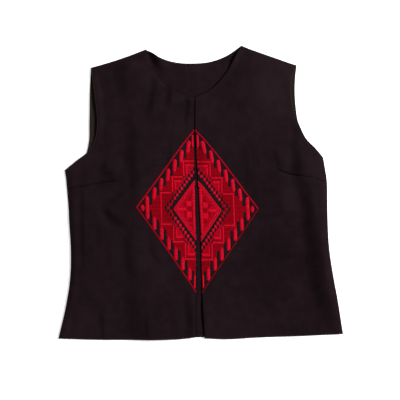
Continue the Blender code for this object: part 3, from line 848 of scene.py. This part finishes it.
centre = {
    "corner": 39.2,
    "lineWidth": 3.1,
    "lineGap": 0.1,
    "slant": 0.5,
    "strip": 4.6,
    "stripWider": 0.8,
    "blockU": (5.8, 14.6),
    "blockV": (3.7, 15.6),
    "bandHalf": 2.9,  # half the width of the band out from the middle
    "bandEnds": 1,
    # of the infill over the lines, from the blocks, from the band's end, and under the band
    "over": 0.6,
    "beside": 0.3,
    "bandFrom": 0.6,
    "bandUnder": 1.2,
    "rise": 0.25,
    # darker squares: inner and outer u, and how high they reach on both sides of the middle
    "hollows": ((5.2, 14.0, 0.0, 3.2), (15.4, 20.0, 3.4, 9.6), (6.0, 12.0, 17.0, 21.0)),
    "hollowDrop": 1.5,  # of the middle between them
}
slope = diamond["v"] / diamond["u"]
squareness = slope / math.hypot(1, slope)  # width square to a slanting line, of its width along u


strandForm = {
    "sides": 5,
    "cuts": (-0.32, 0.0, 0.32),  # x of the rings between its ends
    "end": 0.49,  # points beyond this x belong to an end
    "endScale": (1, 0.55, 0.6),
}


def modelStrand():  # one stitch, a unit long along x and a unit wide, to be stamped many times
    bpy.ops.mesh.primitive_cylinder_add(
        vertices=strandForm["sides"], radius=0.5, depth=1, end_fill_type="NGON"
    )
    strand = bpy.context.object
    editAll(strand)
    for axis, turn in (("Y", math.pi / 2), ("X", -math.pi / 2)):
        bpy.ops.transform.rotate(value=turn, orient_axis=axis, center_override=(0, 0, 0))
    for x in strandForm["cuts"]:
        bpy.ops.mesh.select_all(action="SELECT")
        bpy.ops.mesh.bisect(plane_co=(x, 0, 0), plane_no=(1, 0, 0))
    setMode("OBJECT")
    for vertex in strand.data.vertices:
        vertex.select = abs(vertex.co.x) > strandForm["end"]
    for part in (*strand.data.edges, *strand.data.polygons):
        part.select = all(strand.data.vertices[i].select for i in part.vertices)
    setMode("EDIT")
    bpy.ops.transform.resize(value=strandForm["endScale"], center_override=(0, 0, 0))
    bpy.ops.mesh.select_all(action="SELECT")
    bpy.ops.mesh.normals_make_consistent(inside=False)
    setMode("OBJECT")
    points = np.array([v.co for v in strand.data.vertices])
    faces = [tuple(p.vertices) for p in strand.data.polygons]
    bpy.data.objects.remove(strand, do_unlink=True)
    return points, faces


strandPoints, strandFaces = modelStrand()
print("strand modelled:", len(strandFaces), "faces")


def acrossLine(start, end, width, slant, rise, shade):  # satin stitches over a line
    start, end = np.array(start, float), np.array(end, float)
    length = np.hypot(*(end - start))
    along = (end - start) / length
    over = np.array([-along[1], along[0]])
    count = max(2, int(round(length / thread["pitch"])))
    middles = start + along * length * ((np.arange(count) + 0.5) / count)[:, None]
    reach = over * width / 2 + along * slant / 2
    rest = np.tile([rise, shade], (count, 1))
    return np.hstack([middles - reach, middles + reach, rest])


def satinBar(u, outer, inner, width, outerTip, innerTip, onEdge=False, outwards=0.0):
    count = int(round(abs(outer - inner) / thread["pitch"]))
    v = outer + (inner - outer) * (np.arange(count) + 0.5) / count
    u = u + outwards * ((2 * np.arange(count) + 1) / count - 1)
    fromOuter = np.clip(np.abs(v - outer) / outerTip, 0, 1)
    fromInner = np.clip(np.abs(v - inner) / innerTip, 0, 1)
    half = width / 2 * np.minimum(np.sqrt(1 - (1 - fromOuter) ** 2), np.sqrt(1 - (1 - fromInner) ** 2))
    half = np.maximum(half, bars["tipWidth"] / 2)
    shade = tone["bar"] - tone["barEnd"] * softStep(1 - np.abs(v - inner) / innerTip)
    lean = bars["slant"] / 2 * half / (width / 2)
    left, right = u - half, u + half
    if onEdge:
        left, right = np.full(count, thread["first"]), u * 2 * half / width
    rise = bars["rise"] * half / (width / 2)
    return np.column_stack([left, v - lean, right, v + lean, rise, shade])


def cornerOf(u, v):  # u of the corner of the diamond that passes through this point
    return u + np.abs(v) / slope


def stairDepth(u, v, steps, share=1.0):
    depths = [np.minimum(stairs["u"][k] - u, (stairs["v"][k] - np.abs(v)) / share) for k in range(steps)]
    return np.max(depths, axis=0)


def groundReach(u, row):  # how far from the middle the striped ground goes in a column
    half = bars["width"] / 2
    if u < bars["edge"][0]:
        return bars["edge"][2] + bars["underEdge"]
    for barU, outer, inner in row:
        if u < barU - half:
            return abs(inner) + bars["gapDip"]
        if u <= barU + half:
            return abs(inner) + bars["underBar"]
    return bars["atSide"]


def chainSquare(u, v):  # squares of the chain from its inner edge: 0 red, 1 bare, then the fill
    row = np.rint(np.abs(v) / (dots["stepU"] * slope))
    return np.floor((u - dots["first"]) / dots["stepU"] + row)


def zoneOf(u, v):  # 1 ground, 2 between the stair lines, 3 fill, 4 side cell, 0 elsewhere
    corner = cornerOf(u, v)
    outer = np.array([groundReach(u, bars["upper" if w > 0 else "lower"]) for w in v])
    deep = stairDepth(u, v, 3)
    second = stairDepth(u, v, 2)
    zone = np.where((deep < 0) & (np.abs(v) < outer) & (u < bars["side"][0] - bars["fromSide"]), 1, 0)
    inner = stairDepth(u, v, 2, stairs["treadShare"])
    zone = np.where((second > stairs["width"]) & (inner < stairs["secondFrom"]), 2, zone)
    zone = np.where(inner > stairs["secondTo"], 3, zone)
    cell = (np.abs(v) < stairs["v"][2] - stairs["width"]) & (u < stairs["u"][2] - stairs["width"])
    zone = np.where(cell, 4, zone)
    zone = np.where((corner < dots["bareEdge"]) & (zone != 4), 3, zone)
    return np.where(chainSquare(u + dots["spread"], v) < 2, 0, zone)


def inRows(columns, zones, shadeOf, zoneAt=zoneOf):  # stitches up the columns, row by row
    v = np.arange(-diamond["v"], diamond["v"], thread["rowStep"])
    stitches = []
    for u in columns:
        inside = np.isin(zoneAt(u, v), zones)
        band = np.floor(v / thread["row"]).astype(int)
        start = None
        for i in range(len(v)):
            if start is not None and (not inside[i] or band[i] != band[start]):
                if v[i] - v[start] >= thread["shortest"]:
                    low, high = v[start] - thread["overlap"], v[i] + thread["overlap"]
                    stitches.append((u, low, u, high, 0, shadeOf(u, v[start], band[start])))
                start = None
            if inside[i] and start is None:
                start = i
    return np.array(stitches)


def columnsFrom(first, last):
    return np.arange(first + thread["pitch"] / 2, last, thread["pitch"])


def slantLine(corner, width, sign, **looks):  # along the diamond's side, and past the centre edge
    return acrossLine((corner, 0.0), (-width, sign * (corner + width) * slope), width, **looks)


def borderStitches(side):
    parts = []
    for sign, (width, shade) in zip((1, -1), border[side]):
        corner = diamond["u"] - width / 2 / squareness
        looks = {"slant": sign * border["slant"], "rise": border["rise"], "shade": shade}
        parts.append(slantLine(corner, width, sign, **looks))
    return np.vstack(parts)


def barStitches():
    tips = (bars["outerTip"], bars["innerTip"])
    tail, outwards = bars["upperTail"], bars["upperLean"]
    wide = bars["width"]
    parts = []
    for u, outer, inner in bars["upper"]:
        parts.append(satinBar(u, outer, inner - tail, wide, *tips, outwards=outwards))
    parts += [satinBar(*bar, wide, *tips) for bar in (*bars["lower"], bars["side"])]
    parts.append(satinBar(*bars["lozenge"], wide, *bars["lozengeTips"]))
    width, outer, inner = bars["edge"]
    for sign in (1, -1):
        parts.append(satinBar(width, sign * outer, sign * inner, width * 2, *tips, onEdge=True))
    return np.vstack(parts)


def stairStitches():
    parts = []
    second = (stairs["secondFrom"] + stairs["secondTo"]) / 2, stairs["secondTo"] - stairs["secondFrom"]
    for offset, width, share, steps, shade in (
        (stairs["width"] / 2, stairs["width"], 1.0, 3, tone["line"]),
        (*second, stairs["treadShare"], 2, tone["secondLine"]),
    ):
        reach = offset - width / 2
        looks = {"slant": 0.0, "rise": stairs["rise"], "shade": shade}
        for sign in (1, -1):
            for k in range(steps):
                treadV = sign * (stairs["v"][k] - offset * share)
                fromU = thread["first"] if k == 0 else stairs["u"][k - 1] - reach
                toU = stairs["u"][k] - reach
                parts.append(acrossLine((fromU, treadV), (toU, treadV), width * share, **looks))
                riserU = stairs["u"][k] - offset
                topV = stairs["v"][k] - (offset + width / 2) * share
                lowV = stairs["v"][k + 1] - reach * share if k < 2 else 0.0
                if k == 1 and steps == 2:
                    lowV = stairs["v"][2]
                parts.append(acrossLine((riserU, sign * topV), (riserU, sign * lowV), width, **looks))
    stitches = np.vstack(parts)
    middle = (stitches[:, :2] + stitches[:, 2:4]) / 2
    return stitches[cornerOf(middle[:, 0], middle[:, 1]) > dots["bareEdge"]]


def fillStitches():
    def inZone(zone, shade, rows=(0, 0)):
        first, last = stairs["columns"][zone]
        return inRows(columnsFrom(first, last), (zone,), lambda u, v, band: tone[shade] + rows[band % 2])

    ground = inZone(1, "ground", tone["groundRows"])
    cells = np.vstack([inZone(2, "deep"), inZone(4, "ground", tone["cellRows"])])
    return ground, cells, inZone(3, "fill")


def dotStitches():
    parts = []
    high = dots["stepU"] * slope
    for row in range(-dots["rows"], dots["rows"] + 1):
        far = dots["first"] + (1 - abs(row)) * dots["stepU"]
        dull = abs(row) <= dots["dullRows"]
        near = far - dots["stepU"] - (dots["dullExtra"] if abs(row) < dots["dullRows"] else 0)
        low, top = (row - 0.5) * high + dots["inset"], (row + 0.5) * high - dots["inset"]
        for u in np.arange(near + dots["inset"] + thread["pitch"] / 2, far, thread["pitch"]):
            if u > dots["nearest"]:
                parts.append((u, low, u, top, dots["rise"], tone["dull" if dull else "line"]))
    return np.array(parts)


def centreStitches():
    parts = []
    for k, shade in enumerate((tone["bar"], tone["line"])):
        inset = (centre["lineWidth"] * (k + 0.5) + centre["lineGap"] * k) / squareness
        for sign in (1, -1):
            looks = {"slant": centre["slant"] * sign, "rise": centre["rise"], "shade": shade}
            parts.append(slantLine(centre["corner"] - inset, centre["lineWidth"], sign, **looks))
    inner = centre["corner"] - (2 * centre["lineWidth"] + centre["lineGap"]) / squareness
    nearU, farU = centre["blockU"]
    lowV, highV = centre["blockV"]
    strip, stripTop = centre["strip"], (inner - centre["strip"] / 2) * slope
    looks = {"slant": 0.0, "rise": centre["rise"], "shade": tone["line"]}
    ends = (strip / 2, -stripTop), (strip / 2, stripTop)
    parts.append(acrossLine(*ends, strip + centre["stripWider"], **looks))
    ends = (farU + centre["bandEnds"], 0), (inner - centre["bandEnds"], 0)
    parts.append(acrossLine(*ends, centre["bandHalf"] * 2, **looks))
    looks["shade"] = tone["bar"]
    for sign in (1, -1):
        middle = sign * (lowV + highV) / 2
        parts.append(acrossLine((nearU, middle), (farU, middle), highV - lowV, **looks))

    def infill(u, v):
        a = np.abs(v)
        inside = (cornerOf(u, v) < inner + centre["over"]) & (u > strip)
        block = (u > nearU - centre["beside"]) & (u < farU + centre["beside"]) & (a > lowV) & (a < highV)
        band = (u > farU + centre["bandFrom"]) & (a < centre["bandHalf"] - centre["bandUnder"])
        return np.where(inside & ~block & ~band, 1, 0)

    def infillShade(u, v, band):
        a = abs(v + centre["hollowDrop"])
        hollow = any(near < u < far and low <= a < high for near, far, low, high in centre["hollows"])
        return tone["infill"] + tone["infillRows"][band % 2] - tone["hollow"] * hollow

    rows = inRows(columnsFrom(strip + centre["beside"], inner), (1,), infillShade, infill)
    return np.vstack(parts + [rows])


def heightMap(side):  # of the cloth under the embroidery, on an even grid of the drawing
    step = thread["mapStep"]
    us = np.arange(0, diamond["u"] + 2 * step, step)
    vs = np.arange(-diamond["v"] - step, diamond["v"] + 2 * step, step)
    mesh = fronts[side].data
    tree = BVHTree.FromPolygons([v.co for v in mesh.vertices], [p.vertices for p in mesh.polygons])
    gridU, gridV = np.meshgrid(us, vs, indexing="ij")
    places = cuts[side].worn(gridU.ravel(), gridV.ravel()) * mm
    heights = [tree.ray_cast(Vector((x, y, 1.0)), Vector((0, 0, -1)))[0].z for x, y in places]
    return us, vs, np.array(heights).reshape(gridU.shape) / mm


def heightAt(clothMap, u, v):
    us, vs, heights = clothMap
    i = np.clip((u - us[0]) / (us[1] - us[0]), 0, len(us) - 1.001)
    j = np.clip((v - vs[0]) / (vs[1] - vs[0]), 0, len(vs) - 1.001)
    i0, j0 = i.astype(int), j.astype(int)
    a, b = i - i0, j - j0
    near = heights[i0, j0] * (1 - b) + heights[i0, j0 + 1] * b
    far = heights[i0 + 1, j0] * (1 - b) + heights[i0 + 1, j0 + 1] * b
    return near * (1 - a) + far * a


def stampStitches(name, side, clothMap, stitches, rng):
    farther = np.maximum(stitches[:, 0], stitches[:, 2])
    stitches = stitches[farther > thread["nearest"] + thread["reach"]]
    count = len(stitches)
    loose = rng.normal(0, 1, (count, 6))
    uneven = thread["unevenEnd"] * np.array([thread["unevenAside"], 1])
    start = stitches[:, 0:2] + loose[:, 0:2] * uneven
    end = stitches[:, 2:4] + loose[:, 2:4] * uneven
    start[:, 0] = np.maximum(start[:, 0], thread["nearest"])
    end[:, 0] = np.maximum(end[:, 0], thread["nearest"])
    width = thread["width"] * (1 + thread["unevenWidth"] * loose[:, 4])
    shade = stitches[:, 5] + thread["unevenTone"] * loose[:, 5]
    # painted light on the wearer's left half
    shade = shade + (tone["leftPaintedLight"] if side == "left" else 0)
    t = (strandPoints[:, 0] + 0.5)[None, :]
    u = start[:, :1] * (1 - t) + end[:, :1] * t
    v = start[:, 1:] * (1 - t) + end[:, 1:] * t
    flat = cuts[side].worn(u, v)
    ends = cuts[side].worn(stitches[:, [0, 2]], stitches[:, [1, 3]])
    along = ends[:, 1] - ends[:, 0]
    along /= np.hypot(along[:, 0], along[:, 1])[:, None]
    aside = np.stack([-along[:, 1], along[:, 0]], -1)
    arch = 1 - (2 * t - 1) ** 4
    centreHeight = heightAt(clothMap, u, v) - thread["sink"]
    centreHeight = centreHeight + arch * (thread["sink"] + thread["height"] / 2 + stitches[:, 4:5])
    points = np.empty((count, len(strandPoints), 3))
    points[..., :2] = flat + aside[:, None] * (strandPoints[None, :, 1:2] * width[:, None, None])
    points[..., 2] = centreHeight + strandPoints[None, :, 2] * thread["height"]
    faces = [tuple(k + i * len(strandPoints) for k in face) for i in range(count) for face in strandFaces]
    mesh = bpy.data.meshes.new(name)
    mesh.from_pydata((points.reshape(-1, 3) * mm).tolist(), [], faces)
    shades = mesh.attributes.new("tone", "FLOAT", "POINT")
    shades.data.foreach_set("value", np.repeat(np.clip(shade, 0, 1), len(strandPoints)))
    piece = bpy.data.objects.new(name, mesh)
    scene.collection.objects.link(piece)
    selectOnly(piece)
    bpy.ops.object.shade_smooth()
    return piece


rng = np.random.default_rng(thread["seed"])
ground, cells, fill = fillStitches()
zones = {
    "bars": barStitches(),
    "stairs": stairStitches(),
    "ground": ground,
    "cells": cells,
    "fill": fill,
    "dots": dotStitches(),
    "centre": centreStitches(),
}
embroidery = {side: [] for side in cuts}
for side in cuts:
    clothMap = heightMap(side)
    for zone, stitches in {"border": borderStitches(side), **zones}.items():
        stitches = stitches - np.array([0, 1, 0, 1, 0, 0]) * diamond["drops"].get(zone, diamond["drop"])
        piece = stampStitches("stitches_" + side + "_" + zone, side, clothMap, stitches, rng)
        embroidery[side].append(piece)
        print(piece.name, len(stitches), "stitches")


# Finishes

clothFinish = {
    "dark": (0.0047, 0.0024, 0.0032, 1.0),
    "light": (0.0094, 0.0047, 0.0061, 1.0),
    # colour of faded cloth, also used for painted light and shade
    "fadeAndPaintedShading": (0.0116, 0.0063, 0.0078, 1.0),
    "rim": (0.0170, 0.0115, 0.0092, 1.0),
    # colour of the painted shade along the fronts' inner edges and darts
    "pressed": (0.0022, 0.0012, 0.0017, 1.0),
    "roughness": 1.0,
    "specular": 0.02,
    "threadPitch": 0.62,  # mm
    "slubLong": 45.0,
    "slubFine": 0.9,
    "slubDepth": (1.1, -0.6),
    "weftSeed": 0.0,
    "warpSeed": 3.0,
    "weaveShare": 0.12,
    "weaveDepth": 0.07,
    "patchScale": 55.0,
    "patchDetail": 3.0,
    "patchFrom": (0.35, 0.65),
    "patchFaded": (-0.12, 0.25),
    "rimRough": (1.2, 0.25),
}
facingFinish = {
    "dark": (0.0080, 0.0054, 0.0044, 1.0),
    "light": (0.0190, 0.0132, 0.0112, 1.0),
    "roughness": 0.95,
    "specular": 0.05,
    "weaveDepth": 0.05,
    "grain": 900.0,
    "seed": 5.0,
}
threadFinish = {
    "deep": (0.13, 0.0012, 0.0034, 1.0),
    "medium": (0.27, 0.0016, 0.0082, 1.0),
    "bright": (0.50, 0.0036, 0.0190, 1.0),
    "roughness": 0.8,
    "specular": 0.0,
}


def makeCloth(name):
    look = Look(name)
    place = look.add("TexCoord").outputs["Object"]
    axes = look.add("SeparateXYZ", {0: place})
    turns = math.pi / (clothFinish["threadPitch"] * mm)
    waves = [look.math("SINE", look.math("MULTIPLY", axes.outputs[axis], turns)) for axis in "XY"]
    fine, long = 1 / (clothFinish["slubFine"] * mm), 1 / (clothFinish["slubLong"] * mm)
    weft = look.slubs(place, long, fine, clothFinish["weftSeed"])
    warp = look.slubs(place, fine, long, clothFinish["warpSeed"])
    slub = look.math("ADD", weft, warp)
    uneven = look.math("MULTIPLY_ADD", slub, *clothFinish["slubDepth"])
    level = look.math("MULTIPLY_ADD", look.math("MULTIPLY", *waves), clothFinish["weaveShare"], uneven)
    patches = {"Value": look.noise(place, clothFinish["patchScale"], clothFinish["patchDetail"])}
    patches["From Min"], patches["From Max"] = clothFinish["patchFrom"]
    patches["To Min"], patches["To Max"] = clothFinish["patchFaded"]
    fadeAndPaintedShading = look.math("ADD", look.add("MapRange", patches).outputs["Result"], look.layer("fadeAndPaintedShading"))
    rough = look.math("MULTIPLY_ADD", slub, *clothFinish["rimRough"])
    rim = look.math("MULTIPLY", look.layer("rim"), rough)
    colour = look.ramp(level, clothFinish["dark"], clothFinish["light"])
    # mixes in fading with painted light and shade, the worn rim, and painted shade along edges and darts
    for shade, amount in (("fadeAndPaintedShading", fadeAndPaintedShading), ("rim", rim), ("pressed", look.layer("pressed"))):
        colour = look.mix(amount, colour, clothFinish[shade])
    return look.complete(clothFinish, colour, level)


def makeFacingCloth(name):
    look = Look(name)
    place = look.add("TexCoord").outputs["Object"]
    slub = look.slubs(place, facingFinish["grain"], facingFinish["grain"], facingFinish["seed"])
    return look.complete(facingFinish, look.ramp(slub, facingFinish["dark"], facingFinish["light"]), slub)


def makeThread(name):
    look = Look(name)
    colours = [threadFinish[shade] for shade in ("deep", "medium", "bright")]
    return look.complete(threadFinish, look.ramp(look.layer("tone"), *colours))


blackCloth = makeCloth("blackCloth")
brownFacing = makeFacingCloth("brownFacing")
redThread = makeThread("redThread")
for piece, node in ((back, "back"), (fronts["right"], "front_right"), (fronts["left"], "front_left")):
    piece.data.materials.clear()
    piece.data.materials.append(blackCloth)
    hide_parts(node)
    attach(piece, "root")
facings = {side: makeFacing(side) for side in cuts}
for piece in facings.values():
    piece.data.materials.clear()
    piece.data.materials.append(brownFacing)
    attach(piece, "root")
    print(piece.name, "laid")
for side in cuts:
    for piece in embroidery[side]:
        piece.data.materials.append(redThread)
        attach(piece, "root")
    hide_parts("embroidery_" + side + "_frame")
    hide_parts("embroidery_" + side + "_centre")
